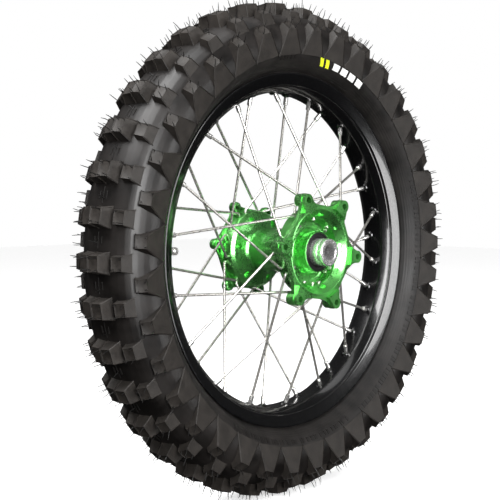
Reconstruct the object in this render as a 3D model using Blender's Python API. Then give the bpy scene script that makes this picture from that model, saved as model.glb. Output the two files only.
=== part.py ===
"""Rear wheel of an off-road motorcycle: knobbly tyre, black rim, 36 crossed spokes, flanged hub.

The origin is the wheel's centre. The axle lies along Y, with the sprocket side at -Y and the
brake side at +Y, and +Z is up. Every part that is round is turned about the Y axis.
"""

import math

import bmesh
import bpy
from mathutils import Matrix, Vector

# Clear gap between two pieces that touch on the real wheel.
GAP = 0.0003

# Axle, collars and bearings (22 mm axle, 22 x 50 x 14 mm ball bearings).
AXLE_BORE_RADIUS = 0.0111
COLLAR_RADIUS = 0.0185
COLLAR_NECK_RADIUS = 0.0150
COLLAR_END_Y = 0.0922
COLLAR_CHAMFER = 0.0008
BEARING_RADIUS = 0.0250
BEARING_WIDTH = 0.0140
BEARING_INNER_RING_RADIUS = 0.0152
BEARING_OUTER_RING_BORE = 0.0208
BALL_RADIUS = 0.0033
BALL_PITCH_RADIUS = 0.0180
BALL_COUNT = 8
RACE_GROOVE_DEPTH = 0.0012
CAGE_HALF_WIDTH = 0.0020
CAGE_HALF_THICKNESS = 0.0009
DISTANCE_TUBE_RADIUS = 0.0145
SPROCKET_BEARING_Y = -0.0550
BRAKE_BEARING_Y = 0.0465
SEAL_RADIUS = 0.0257
SEAL_WIDTH = 0.0070
SEAL_LIP_FLARE = 0.0020
SEAL_LIP_BACK = 0.0020
SEAL_LIP_FRONT = 0.0010
CIRCLIP_WIDTH = 0.0015
CIRCLIP_RADIUS = 0.0265
CIRCLIP_INNER_RADIUS = 0.0235

# Hub.
HUB_STEPS = 24
BARREL_RADIUS = 0.0300
BOSS_RADIUS = 0.0278
SEAL_BORE_RADIUS = SEAL_RADIUS + GAP
BEARING_BORE_RADIUS = BEARING_RADIUS + GAP
CIRCLIP_GROOVE_RADIUS = CIRCLIP_RADIUS + GAP
HUB_BORE_RADIUS = 0.0215
SPOKE_HOLE_RADIUS = 0.0029
SPOKE_HOLE_OVERRUN = 0.0020
# A tool that cuts a hole along the axle reaches past both faces by this ratio.
HOLE_TOOL_STRETCH = 1.1

# The two sides of the hub: where the spokes leave the flange and where the bolt lugs stand.
SIDES = {
    "sprocket_side": {
        "y_sign": -1.0,
        "flange_radius": 0.0590,
        "flange_bore": 0.0450,
        "spoke_exit_y": 0.0580,
        "pair_angle": 23.26,
        "nipple_row_y": -0.0020,
        "lug_circle": 0.0757,
        "lug_radius": 0.0092,
        "lug_angle": 112.9,
        "lug_face_y": 0.0797,
        "lug_boss_end_y": 0.0612,
        "star_inradius": 0.0630,
        "star_front_y": 0.0745,
        "star_back_y": 0.0690,
        "star_bore": 0.0565,
        "bolt_hole_radius": 0.0042,
    },
    "brake_side": {
        "y_sign": 1.0,
        "flange_radius": 0.0540,
        "flange_bore": 0.0400,
        "spoke_exit_y": 0.0500,
        "pair_angle": 13.26,
        "nipple_row_y": 0.0080,
        "lug_circle": 0.0634,
        "lug_radius": 0.0078,
        "lug_angle": 112.3,
        "lug_face_y": 0.0660,
        "lug_boss_end_y": 0.0562,
        "star_inradius": 0.0560,
        "star_front_y": 0.0622,
        "star_back_y": 0.0588,
        "star_bore": 0.0529,
        "bolt_hole_radius": 0.0033,
    },
}
LUG_COUNT = 6
# Angle about the axle from a lug's middle to where its plate's straight edge begins.
LUG_NECK_ANGLE = 17.0
LUG_ARC_STEP = 50.0
# How much smaller the boss behind a lug is than the lug itself.
LUG_BOSS_STEP = 0.0006

# Spokes and nipples.
PAIRS_PER_SIDE = 9
SPOKE_RADIUS = 0.00175
SPOKE_HEAD_RADIUS = 0.0031
SPOKE_HEAD_LENGTH = 0.0018
# The flange bore is a ring of flats, so a head seats a little further in than its radius.
SPOKE_HEAD_CLEARANCE = 0.0010
SPOKE_SIDES = 5
SPOKE_BEND_OFFSET = 0.0025
HUB_SPREAD_ANGLE = 16.0
RIM_SPREAD_ANGLE = 30.0
HUB_STAGGER = 0.0028
RIM_STAGGER = 0.0012
NIPPLE_RADIUS = 0.0031
NIPPLE_HEAD_RADIUS = 0.0044
NIPPLE_VISIBLE_LENGTH = 0.0105
NIPPLE_HEAD_LENGTH = 0.0014
NIPPLE_NECK_RISE = 0.0013
# Corner radius of the square hole that a nipple passes through.
NIPPLE_HOLE_RADIUS = 0.0048

# Rim for an 18 inch tyre, 2.15 inch wide between its flanges.
RIM_STEPS = 36
# Turns the rim so that each nipple hole is in the middle of one of its flats.
RIM_PHASE = 8.26
RIM_BED_RADIUS = 0.2165
RIM_WELL_RADIUS = 0.2195
BEAD_SEAT_RADIUS = 0.2290
RIM_FLANGE_RADIUS = 0.2425
RIM_HALF_WIDTH = 0.0312
RIM_OUTLINE = (
    (0.0130, RIM_WELL_RADIUS), (0.0172, 0.2284), (0.0268, BEAD_SEAT_RADIUS),
    (0.0278, 0.2400), (0.0293, RIM_FLANGE_RADIUS), (RIM_HALF_WIDTH, 0.2407),
    (0.0250, 0.2257), (0.0232, 0.2236), (0.0125, RIM_BED_RADIUS),
)
HOLE_TOOL_REACH = 0.0040

# Rim tape.
TAPE_INNER_RADIUS = 0.2246
TAPE_OUTER_RADIUS = 0.2260
TAPE_HALF_WIDTH = 0.0148
TAPE_STEPS = 36

# Valve, midway between two nipples.
VALVE_ANGLE = 178.26
VALVE_STEM_RADIUS = 0.0040
VALVE_HOLE_RADIUS = 0.0046
VALVE_TOP_RADIUS = 0.2320
VALVE_END_RADIUS = 0.1960
VALVE_NUT_RADIUS = 0.0070
VALVE_NUT_THICKNESS = 0.0040
VALVE_NUT_SEAT_RADIUS = RIM_BED_RADIUS - 0.0012
VALVE_CAP_CROWN = 0.0020
VALVE_CAP_RADIUS = 0.0052
VALVE_CAP_LENGTH = 0.0080

# Tyre: 37 repeats of the tread around the wheel, each with two columns of faces.
TREAD_REPEATS = 37
TYRE_COLUMNS = 2 * TREAD_REPEATS
TREAD_PHASE = 127.03
CENTRE_KNOB_HEIGHT = 0.0175
MIDDLE_KNOB_HEIGHT = 0.0125
SHOULDER_KNOB_HEIGHT = 0.0110
KNOB_TAPER = 0.86

# Half outlines as (y, radius), from the middle of the tread down to the bead toe.
TYRE_OUTER = (
    (0.0210, 0.3195), (0.0375, 0.3090), (0.0530, 0.2860), (0.0545, 0.2750), (0.0455, 0.2560),
    (0.0272, 0.2440), (0.0264, 0.2300), (0.0176, 0.2300),
)
TYRE_INNER = ((0.0285, 0.2490), (0.0480, 0.2800), (0.0360, 0.3030), (0.0180, 0.3130))
TUBE_STEPS = 28
TUBE_OUTER = ((0.0110, 0.2282), (0.0160, 0.2390), (0.0440, 0.2770), (0.0335, 0.3005), (0.0165, 0.3105))
TUBE_INNER = ((0.0090, 0.2312), (0.0405, 0.2775), (0.0310, 0.2980), (0.0150, 0.3075))

COLOURS = {
    "rubber": ((0.035, 0.030, 0.027, 1.0), 0.75, 0.0),
    "tube_rubber": ((0.02, 0.02, 0.02, 1.0), 0.6, 0.0),
    "tape_rubber": ((0.10, 0.10, 0.11, 1.0), 0.7, 0.0),
    "black_rim": ((0.012, 0.012, 0.013, 1.0), 0.2, 0.6),
    "green_anodised": ((0.06, 0.42, 0.10, 1.0), 0.22, 0.9),
    "bright_steel": ((0.72, 0.71, 0.69, 1.0), 0.25, 1.0),
    "bearing_steel": ((0.60, 0.60, 0.62, 1.0), 0.2, 1.0),
    "cage_steel": ((0.50, 0.45, 0.38, 1.0), 0.3, 1.0),
    "spring_steel": ((0.10, 0.10, 0.11, 1.0), 0.4, 1.0),
    "silver_aluminium": ((0.80, 0.80, 0.80, 1.0), 0.3, 1.0),
    "seal_rubber": ((0.02, 0.02, 0.02, 1.0), 0.5, 0.0),
}


def polar(radius, degrees, y):
    """Return the point at a radius and an angle about the axle, at a place along it."""
    angle = math.radians(degrees)
    return Vector((radius * math.cos(angle), y, radius * math.sin(angle)))


def clear_scene():
    """Remove every object that the scene starts with."""
    for thing in list(bpy.data.objects):
        bpy.data.objects.remove(thing, do_unlink=True)


def material(name):
    """Return the named material, made once."""
    found = bpy.data.materials.get(name)
    if found is not None:
        return found
    colour, roughness, metallic = COLOURS[name]
    made = bpy.data.materials.new(name)
    made.use_nodes = True
    shader = made.node_tree.nodes["Principled BSDF"]
    shader.inputs["Base Color"].default_value = colour
    shader.inputs["Roughness"].default_value = roughness
    shader.inputs["Metallic"].default_value = metallic
    made.diffuse_color = colour
    return made


def add_object(name, mesh_data, material_name=None):
    """Turn a bmesh into a smooth-shaded object with outward faces."""
    bmesh.ops.recalc_face_normals(mesh_data, faces=mesh_data.faces)
    mesh = bpy.data.meshes.new(name)
    mesh_data.to_mesh(mesh)
    mesh_data.free()
    thing = bpy.data.objects.new(name, mesh)
    bpy.context.scene.collection.objects.link(thing)
    if material_name is not None:
        mesh.materials.append(material(material_name))
    shade(mesh)
    return thing


def shade(mesh):
    """Shade a mesh smooth, with its real edges kept sharp."""
    mesh.shade_smooth()
    mesh.set_sharp_from_angle(angle=math.radians(35.0))


def combine(target, tool, operation):
    """Apply an exact Boolean of the tool to the target, then remove the tool."""
    modifier = target.modifiers.new("combine", "BOOLEAN")
    modifier.solver = "EXACT"
    modifier.operation = operation
    modifier.object = tool
    depsgraph = bpy.context.evaluated_depsgraph_get()
    result = bpy.data.meshes.new_from_object(target.evaluated_get(depsgraph))
    target.modifiers.remove(modifier)
    old_mesh = target.data
    target.data = result
    result.name = target.name
    bpy.data.meshes.remove(old_mesh)
    bpy.data.objects.remove(tool, do_unlink=True)
    shade(result)


def mirrored(half_outline):
    """Return a closed outline from its +Y half, listed from the middle outwards."""
    other_half = [(-y, radius) for y, radius in reversed(half_outline)]
    return list(half_outline) + other_half


def turned(outline, steps, phase=0.0):
    """Turn a closed outline of (y, radius) points about the axle, starting at an angle."""
    mesh_data = bmesh.new()
    corners = [mesh_data.verts.new(polar(radius, phase, y)) for y, radius in outline]
    edges = [mesh_data.edges.new((a, b)) for a, b in zip(corners, corners[1:] + corners[:1])]
    bmesh.ops.spin(
        mesh_data, geom=corners + edges, cent=(0.0, 0.0, 0.0), axis=(0.0, 1.0, 0.0),
        dvec=(0.0, 0.0, 0.0), angle=2.0 * math.pi, steps=steps, use_merge=True,
    )
    return mesh_data


def lofted(mesh_data, stations, sides):
    """Skin a rod through rings given as (centre, axis, radius), with both ends closed."""
    rings = []
    for centre, axis, radius in stations:
        across = axis.cross(Vector((0.0, 1.0, 0.0))).normalized()
        over = across.cross(axis).normalized()
        ring = []
        for side in range(sides):
            turn = 2.0 * math.pi * side / sides
            offset = across * math.cos(turn) + over * math.sin(turn)
            ring.append(mesh_data.verts.new(centre + offset * radius))
        rings.append(ring)
    for near, far in zip(rings, rings[1:]):
        for side in range(sides):
            following = (side + 1) % sides
            mesh_data.faces.new((near[side], near[following], far[following], far[side]))
    mesh_data.faces.new(rings[0])
    mesh_data.faces.new(list(reversed(rings[-1])))


def add_rod(mesh_data, start, end, radius, sides):
    """Add a plain round rod between two points."""
    axis = (end - start).normalized()
    lofted(mesh_data, [(start, axis, radius), (end, axis, radius)], sides)


def add_valve_hole(mesh_data, inner_radius, outer_radius):
    """Add the tool that cuts the valve's hole through a wall between two radii."""
    start = polar(inner_radius - HOLE_TOOL_REACH, VALVE_ANGLE, 0.0)
    end = polar(outer_radius + HOLE_TOOL_REACH, VALVE_ANGLE, 0.0)
    add_rod(mesh_data, start, end, VALVE_HOLE_RADIUS, 8)


def add_axle_rod(mesh_data, centre_radius, degrees, y_start, y_end, radius, sides):
    """Add a round rod that lies along the axle's direction."""
    start = polar(centre_radius, degrees, y_start)
    matrix = Matrix.Translation((start + polar(centre_radius, degrees, y_end)) * 0.5)
    matrix = matrix @ Matrix.Rotation(math.radians(90.0), 4, "X")
    bmesh.ops.create_cone(
        mesh_data, cap_ends=True, segments=sides, radius1=radius, radius2=radius,
        depth=abs(y_end - y_start), matrix=matrix,
    )


def spoke_routes():
    """Yield each spoke's side name, number, hub angle, exit y, bend point and nipple seat."""
    for side_name, side in SIDES.items():
        number = 0
        for pair in range(PAIRS_PER_SIDE):
            pair_angle = side["pair_angle"] + 360.0 * pair / PAIRS_PER_SIDE
            for lean in (1.0, -1.0):
                number += 1
                hub_angle = pair_angle - lean * HUB_SPREAD_ANGLE
                rim_angle = pair_angle + lean * RIM_SPREAD_ANGLE
                exit_y = side["y_sign"] * (side["spoke_exit_y"] + lean * HUB_STAGGER)
                seat_y = side["nipple_row_y"] + side["y_sign"] * lean * RIM_STAGGER
                bend = polar(side["flange_radius"] + SPOKE_BEND_OFFSET, hub_angle, exit_y)
                seat = polar(RIM_BED_RADIUS, rim_angle, seat_y)
                yield side_name, number, hub_angle, exit_y, bend, seat


def build_spokes():
    """Build each spoke with its nipple, from its head in the flange to the rim's well."""
    for side_name, number, hub_angle, exit_y, bend, seat in spoke_routes():
        inward_radius = SIDES[side_name]["flange_bore"] - SPOKE_HEAD_CLEARANCE
        outward = polar(1.0, hub_angle, 0.0)
        head_end = polar(inward_radius - SPOKE_HEAD_LENGTH, hub_angle, exit_y)
        head_base = polar(inward_radius, hub_angle, exit_y)
        along = (seat - bend).normalized()
        nipple_start = seat - along * NIPPLE_VISIBLE_LENGTH
        steepness = along.dot(Vector((seat.x, 0.0, seat.z)).normalized())
        neck_end = seat + along * ((RIM_WELL_RADIUS - RIM_BED_RADIUS) / steepness + NIPPLE_NECK_RISE)
        nipple_end = neck_end + along * NIPPLE_HEAD_LENGTH
        stations = [
            (head_end, outward, SPOKE_HEAD_RADIUS),
            (head_base, outward, SPOKE_HEAD_RADIUS),
            (head_base, outward, SPOKE_RADIUS),
            (bend, (outward + along).normalized(), SPOKE_RADIUS),
            (nipple_start, along, SPOKE_RADIUS),
            (nipple_start, along, NIPPLE_RADIUS),
            (neck_end, along, NIPPLE_RADIUS),
            (nipple_end, along, NIPPLE_HEAD_RADIUS),
        ]
        mesh_data = bmesh.new()
        lofted(mesh_data, stations, SPOKE_SIDES)
        add_object(f"spoke_{side_name}_{number:02d}", mesh_data, "bright_steel")


def star_tool(side):
    """Build the six-cornered bolting plate of one hub side, with its round opening."""
    half_corner = 180.0 / LUG_COUNT
    edge_radius = side["star_inradius"] / math.cos(math.radians(half_corner - LUG_NECK_ANGLE))
    front = side["y_sign"] * side["star_front_y"]
    back = side["y_sign"] * side["star_back_y"]
    mesh_data = bmesh.new()
    corners = []
    for lug in range(LUG_COUNT):
        lug_angle = side["lug_angle"] + 360.0 * lug / LUG_COUNT
        corners.append(mesh_data.verts.new(polar(edge_radius, lug_angle - LUG_NECK_ANGLE, back)))
        centre = polar(side["lug_circle"], lug_angle, back)
        for arc_step in range(-2, 3):
            corner = centre + polar(side["lug_radius"], lug_angle + LUG_ARC_STEP * arc_step, 0.0)
            corners.append(mesh_data.verts.new(corner))
        corners.append(mesh_data.verts.new(polar(edge_radius, lug_angle + LUG_NECK_ANGLE, back)))
    plate = mesh_data.faces.new(corners)
    extruded = bmesh.ops.extrude_face_region(mesh_data, geom=[plate])["geom"]
    moved = [item for item in extruded if isinstance(item, bmesh.types.BMVert)]
    bmesh.ops.translate(mesh_data, verts=moved, vec=(0.0, front - back, 0.0))
    star = add_object("star_tool", mesh_data)
    opening = bmesh.new()
    add_axle_rod(opening, 0.0, 0.0, back / HOLE_TOOL_STRETCH, front * HOLE_TOOL_STRETCH,
                 side["star_bore"], HUB_STEPS)
    combine(star, add_object("opening_tool", opening), "DIFFERENCE")
    return star


def hub_outline():
    """Return the hub's closed outline, down the outside and back through its bore."""
    sprocket_seat = SPROCKET_BEARING_Y - BEARING_WIDTH / 2
    sprocket_shoulder = SPROCKET_BEARING_Y + BEARING_WIDTH / 2 + GAP
    brake_shoulder = BRAKE_BEARING_Y - BEARING_WIDTH / 2 - GAP
    brake_seat = BRAKE_BEARING_Y + BEARING_WIDTH / 2 + GAP
    groove_start = sprocket_seat - GAP
    groove_end = groove_start - CIRCLIP_WIDTH - 2 * GAP
    return [
        # Sprocket side: bearing boss, dished face, flange rim and back.
        (-0.0726, SEAL_BORE_RADIUS), (-0.0726, BOSS_RADIUS), (-0.0540, 0.0290), (-0.0500, 0.0330),
        (-0.0500, 0.0450), (-0.0650, 0.0450), (-0.0745, 0.0560), (-0.0755, 0.0574),
        (-0.0740, 0.0590), (-0.0500, 0.0590), (-0.0470, 0.0560), (-0.0430, 0.0400),
        (-0.0370, 0.0312),
        # Barrel.
        (-0.0330, BARREL_RADIUS), (0.0290, BARREL_RADIUS),
        # Brake side: back, flange rim, dished face and bearing boss.
        (0.0320, 0.0330), (0.0370, 0.0490), (0.0410, 0.0540), (0.0610, 0.0540),
        (0.0630, 0.0525), (0.0560, 0.0400), (0.0430, 0.0400), (0.0430, 0.0320),
        (0.0470, 0.0290), (0.0620, BOSS_RADIUS), (0.0620, SEAL_BORE_RADIUS),
        # Bore: seal seats, bearing seats with their shoulders and the circlip's groove.
        (brake_seat, SEAL_BORE_RADIUS), (brake_seat, BEARING_BORE_RADIUS),
        (brake_shoulder, BEARING_BORE_RADIUS), (brake_shoulder, HUB_BORE_RADIUS),
        (sprocket_shoulder, HUB_BORE_RADIUS), (sprocket_shoulder, BEARING_BORE_RADIUS),
        (groove_start, BEARING_BORE_RADIUS), (groove_start, CIRCLIP_GROOVE_RADIUS),
        (groove_end, CIRCLIP_GROOVE_RADIUS), (groove_end, SEAL_BORE_RADIUS),
    ]


def build_hub():
    """Build the one-piece hub: turned body, bolting plates, lug bosses and all its holes."""
    hub = add_object("hub", turned(hub_outline(), HUB_STEPS), "green_anodised")
    for side in SIDES.values():
        combine(hub, star_tool(side), "UNION")
        bosses = bmesh.new()
        holes = bmesh.new()
        face_y = side["y_sign"] * side["lug_face_y"]
        boss_end_y = side["y_sign"] * side["lug_boss_end_y"]
        for lug in range(LUG_COUNT):
            lug_angle = side["lug_angle"] + 360.0 * lug / LUG_COUNT
            boss_radius = side["lug_radius"] - LUG_BOSS_STEP
            add_axle_rod(bosses, side["lug_circle"], lug_angle, boss_end_y, face_y, boss_radius, 12)
            hole_radius = side["bolt_hole_radius"]
            add_axle_rod(holes, side["lug_circle"], lug_angle, boss_end_y / HOLE_TOOL_STRETCH,
                         face_y * HOLE_TOOL_STRETCH, hole_radius, 8)
        combine(hub, add_object("boss_tool", bosses), "UNION")
        combine(hub, add_object("hole_tool", holes), "DIFFERENCE")
    spoke_holes = bmesh.new()
    for side_name, _number, hub_angle, exit_y, _bend, _seat in spoke_routes():
        side = SIDES[side_name]
        start = polar(side["flange_bore"] - SPOKE_HOLE_OVERRUN, hub_angle, exit_y)
        end = polar(side["flange_radius"] + SPOKE_HOLE_OVERRUN, hub_angle, exit_y)
        add_rod(spoke_holes, start, end, SPOKE_HOLE_RADIUS, 4)
    combine(hub, add_object("spoke_hole_tool", spoke_holes), "DIFFERENCE")
    hub.data.materials.clear()
    hub.data.materials.append(material("green_anodised"))


def build_rim():
    """Build the rim with its flanges, bead seats, well, and nipple and valve holes."""
    rim = add_object("rim", turned(mirrored(RIM_OUTLINE), RIM_STEPS, RIM_PHASE), "black_rim")
    holes = bmesh.new()
    for _side_name, _number, _hub_angle, _exit_y, bend, seat in spoke_routes():
        along = (seat - bend).normalized()
        start = seat - along * HOLE_TOOL_REACH
        end = seat + along * (2.0 * HOLE_TOOL_REACH)
        add_rod(holes, start, end, NIPPLE_HOLE_RADIUS, 4)
    add_valve_hole(holes, RIM_BED_RADIUS, RIM_WELL_RADIUS)
    combine(rim, add_object("hole_tool", holes), "DIFFERENCE")


def build_rim_tape():
    """Build the rubber band that covers the nipple heads in the rim's well."""
    outline = [
        (-TAPE_HALF_WIDTH, TAPE_INNER_RADIUS), (TAPE_HALF_WIDTH, TAPE_INNER_RADIUS),
        (TAPE_HALF_WIDTH, TAPE_OUTER_RADIUS), (-TAPE_HALF_WIDTH, TAPE_OUTER_RADIUS),
    ]
    tape = add_object("rim_tape", turned(outline, TAPE_STEPS), "tape_rubber")
    hole = bmesh.new()
    add_valve_hole(hole, TAPE_INNER_RADIUS, TAPE_OUTER_RADIUS)
    combine(tape, add_object("hole_tool", hole), "DIFFERENCE")


def build_inner_tube():
    """Build the inner tube as a hollow ring, open only where the valve stem enters it."""
    tube = add_object("inner_tube", turned(mirrored(TUBE_OUTER), TUBE_STEPS), "tube_rubber")
    combine(tube, add_object("air_tool", turned(mirrored(TUBE_INNER), TUBE_STEPS)), "DIFFERENCE")
    hole = bmesh.new()
    add_valve_hole(hole, TUBE_OUTER[0][1], TUBE_INNER[0][1])
    combine(tube, add_object("hole_tool", hole), "DIFFERENCE")


def add_valve_rod(mesh_data, inner_radius, outer_radius, rod_radius, sides=10):
    """Add a rod on the valve's line, between two distances from the axle."""
    start = polar(inner_radius, VALVE_ANGLE, 0.0)
    end = polar(outer_radius, VALVE_ANGLE, 0.0)
    add_rod(mesh_data, start, end, rod_radius, sides)


def build_valve():
    """Build the valve stem, the nut that holds it to the rim and its dust cap."""
    stem = bmesh.new()
    add_valve_rod(stem, VALVE_END_RADIUS, VALVE_TOP_RADIUS, VALVE_STEM_RADIUS)
    add_object("valve_stem", stem, "bright_steel")
    nut = bmesh.new()
    nut_inner = VALVE_NUT_SEAT_RADIUS - VALVE_NUT_THICKNESS
    add_valve_rod(nut, nut_inner, VALVE_NUT_SEAT_RADIUS, VALVE_NUT_RADIUS, 6)
    nut_object = add_object("valve_nut", nut, "bright_steel")
    bore = bmesh.new()
    add_valve_rod(bore, nut_inner - HOLE_TOOL_REACH, VALVE_NUT_SEAT_RADIUS + HOLE_TOOL_REACH,
                  VALVE_STEM_RADIUS + GAP)
    combine(nut_object, add_object("hole_tool", bore), "DIFFERENCE")
    cap = bmesh.new()
    cap_end = VALVE_END_RADIUS - VALVE_CAP_CROWN
    cap_mouth = cap_end + VALVE_CAP_LENGTH
    add_valve_rod(cap, cap_end, cap_mouth, VALVE_CAP_RADIUS)
    cap_object = add_object("valve_cap", cap, "bright_steel")
    socket = bmesh.new()
    add_valve_rod(socket, VALVE_END_RADIUS - GAP, cap_mouth + HOLE_TOOL_REACH,
                  VALVE_STEM_RADIUS + GAP)
    combine(cap_object, add_object("hole_tool", socket), "DIFFERENCE")


def build_tyre():
    """Build the tyre's casing as a ring of faces, then raise its tread knobs from them."""
    outline = mirrored(TYRE_OUTER + TYRE_INNER)
    mesh_data = bmesh.new()
    columns = []
    for column in range(TYRE_COLUMNS):
        angle = TREAD_PHASE + 360.0 * (column - 0.5) / TYRE_COLUMNS
        columns.append([mesh_data.verts.new(polar(radius, angle, y)) for y, radius in outline])
    faces = {}
    point_count = len(outline)
    for column in range(TYRE_COLUMNS):
        here = columns[column]
        there = columns[(column + 1) % TYRE_COLUMNS]
        for point in range(point_count):
            following = (point + 1) % point_count
            corners = (here[point], here[following], there[following], there[point])
            faces[column, point] = mesh_data.faces.new(corners)
    bmesh.ops.recalc_face_normals(mesh_data, faces=mesh_data.faces)
    centre_strip = point_count - 1
    for column in range(TYRE_COLUMNS):
        if column % 2:
            strips = {centre_strip: CENTRE_KNOB_HEIGHT, 0: MIDDLE_KNOB_HEIGHT,
                      centre_strip - 1: MIDDLE_KNOB_HEIGHT}
        else:
            strips = {1: SHOULDER_KNOB_HEIGHT, centre_strip - 2: SHOULDER_KNOB_HEIGHT}
        for strip, height in strips.items():
            raise_knob(mesh_data, faces[column, strip], height)
    add_object("tyre", mesh_data, "rubber")


def raise_knob(mesh_data, face, height):
    """Raise one face of the casing into a tread knob whose sides lean inwards."""
    top = bmesh.ops.extrude_discrete_faces(mesh_data, faces=[face])["faces"][0]
    bmesh.ops.translate(mesh_data, verts=top.verts[:], vec=top.normal * height)
    centre = top.calc_center_median()
    for corner in top.verts:
        corner.co = centre + (corner.co - centre) * KNOB_TAPER


def bearing_ring_outline(y, land_radius, far_radius, groove_radius):
    """Return a bearing ring's outline, with its ball groove on the land's side."""
    half = BEARING_WIDTH / 2
    groove = BEARING_WIDTH / 4
    return [
        (y - half, far_radius), (y - half, land_radius), (y - groove, land_radius),
        (y, groove_radius), (y + groove, land_radius), (y + half, land_radius),
        (y + half, far_radius),
    ]


def build_bearing(side_name, y):
    """Build one ball bearing: its two rings, and its balls joined by their cage."""
    inner_groove = BEARING_INNER_RING_RADIUS - RACE_GROOVE_DEPTH
    outer_groove = BEARING_OUTER_RING_BORE + RACE_GROOVE_DEPTH
    inner = bearing_ring_outline(y, BEARING_INNER_RING_RADIUS, AXLE_BORE_RADIUS, inner_groove)
    outer = bearing_ring_outline(y, BEARING_OUTER_RING_BORE, BEARING_RADIUS, outer_groove)
    add_object(f"bearing_inner_ring_{side_name}", turned(inner, 16), "bearing_steel")
    add_object(f"bearing_outer_ring_{side_name}", turned(outer, 18), "bearing_steel")
    low = BALL_PITCH_RADIUS - CAGE_HALF_THICKNESS
    high = BALL_PITCH_RADIUS + CAGE_HALF_THICKNESS
    ring = [(y - CAGE_HALF_WIDTH, low), (y + CAGE_HALF_WIDTH, low),
            (y + CAGE_HALF_WIDTH, high), (y - CAGE_HALF_WIDTH, high)]
    cage = add_object(f"bearing_balls_{side_name}", turned(ring, 16), "cage_steel")
    balls = bmesh.new()
    for ball in range(BALL_COUNT):
        place = polar(BALL_PITCH_RADIUS, 360.0 * ball / BALL_COUNT, y)
        bmesh.ops.create_uvsphere(balls, u_segments=6, v_segments=4, radius=BALL_RADIUS,
                                  matrix=Matrix.Translation(place))
    combine(cage, add_object("ball_tool", balls), "UNION")


def build_seal(side_name, inner_y, outward):
    """Build one oil seal: a body pressed into the hub and a lip round the collar."""
    lip_radius = COLLAR_RADIUS + GAP
    outer_y = inner_y + outward * SEAL_WIDTH
    outline = [
        (inner_y, SEAL_RADIUS), (inner_y, lip_radius + SEAL_LIP_FLARE),
        (inner_y + outward * SEAL_LIP_BACK, lip_radius),
        (outer_y - outward * SEAL_LIP_FRONT, lip_radius),
        (outer_y, lip_radius + SEAL_LIP_FLARE), (outer_y, SEAL_RADIUS),
    ]
    add_object(f"oil_seal_{side_name}", turned(outline, 20), "seal_rubber")


def build_collar(side_name, inner_y, seal_y, outward):
    """Build one side collar, from its neck at the inner ring to its clamping face."""
    end_y = outward * COLLAR_END_Y
    outline = [
        (inner_y, AXLE_BORE_RADIUS), (inner_y, COLLAR_NECK_RADIUS),
        (seal_y, COLLAR_NECK_RADIUS), (seal_y, COLLAR_RADIUS),
        (end_y - outward * COLLAR_CHAMFER, COLLAR_RADIUS),
        (end_y, COLLAR_RADIUS - COLLAR_CHAMFER), (end_y, AXLE_BORE_RADIUS),
    ]
    add_object(f"collar_{side_name}", turned(outline, 20), "silver_aluminium")


def build_distance_tube():
    """Build the tube that keeps the two inner rings apart inside the hub."""
    start = SPROCKET_BEARING_Y + BEARING_WIDTH / 2 + GAP
    end = BRAKE_BEARING_Y - BEARING_WIDTH / 2 - GAP
    outline = [(start, AXLE_BORE_RADIUS), (end, AXLE_BORE_RADIUS),
               (end, DISTANCE_TUBE_RADIUS), (start, DISTANCE_TUBE_RADIUS)]
    add_object("distance_tube", turned(outline, 12), "silver_aluminium")


def build_circlip(inner_y):
    """Build the open spring ring that holds the sprocket-side bearing in its seat."""
    outer_y = inner_y - CIRCLIP_WIDTH
    mesh_data = bmesh.new()
    corners = [(inner_y, CIRCLIP_INNER_RADIUS), (inner_y, CIRCLIP_RADIUS),
               (outer_y, CIRCLIP_RADIUS), (outer_y, CIRCLIP_INNER_RADIUS)]
    first = [mesh_data.verts.new((radius, y, 0.0)) for y, radius in corners]
    face = mesh_data.faces.new(first)
    bmesh.ops.spin(
        mesh_data, geom=[face], cent=(0.0, 0.0, 0.0), axis=(0.0, 1.0, 0.0),
        dvec=(0.0, 0.0, 0.0), angle=math.radians(330.0), steps=14, use_merge=False,
    )
    add_object("circlip", mesh_data, "spring_steel")


def main():
    clear_scene()
    build_tyre()
    build_inner_tube()
    build_rim_tape()
    build_rim()
    build_valve()
    build_hub()
    build_spokes()
    for side_name, y in (("sprocket_side", SPROCKET_BEARING_Y), ("brake_side", BRAKE_BEARING_Y)):
        build_bearing(side_name, y)
    build_distance_tube()
    sprocket_face = SPROCKET_BEARING_Y - BEARING_WIDTH / 2
    brake_face = BRAKE_BEARING_Y + BEARING_WIDTH / 2
    build_circlip(sprocket_face - 2 * GAP)
    sprocket_seal = sprocket_face - CIRCLIP_WIDTH - 5 * GAP
    brake_seal = brake_face + 2 * GAP
    build_seal("sprocket_side", sprocket_seal, -1.0)
    build_seal("brake_side", brake_seal, 1.0)
    build_collar("sprocket_side", sprocket_face - GAP, sprocket_seal, -1.0)
    build_collar("brake_side", brake_face + GAP, brake_seal, 1.0)


main()
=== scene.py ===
"""Spoked rear wheel of an off-road motorcycle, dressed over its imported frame.

The origin is the wheel's centre and the axle lies along Y, with the sprocket side at -Y. Angles
are in degrees about the axle, from +X towards +Z, and every size is in metres.
"""

import math
import random

import bmesh
import bpy
from bpy.props import FloatProperty, FloatVectorProperty, IntProperty, PointerProperty
from mathutils import Matrix, Vector


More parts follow.
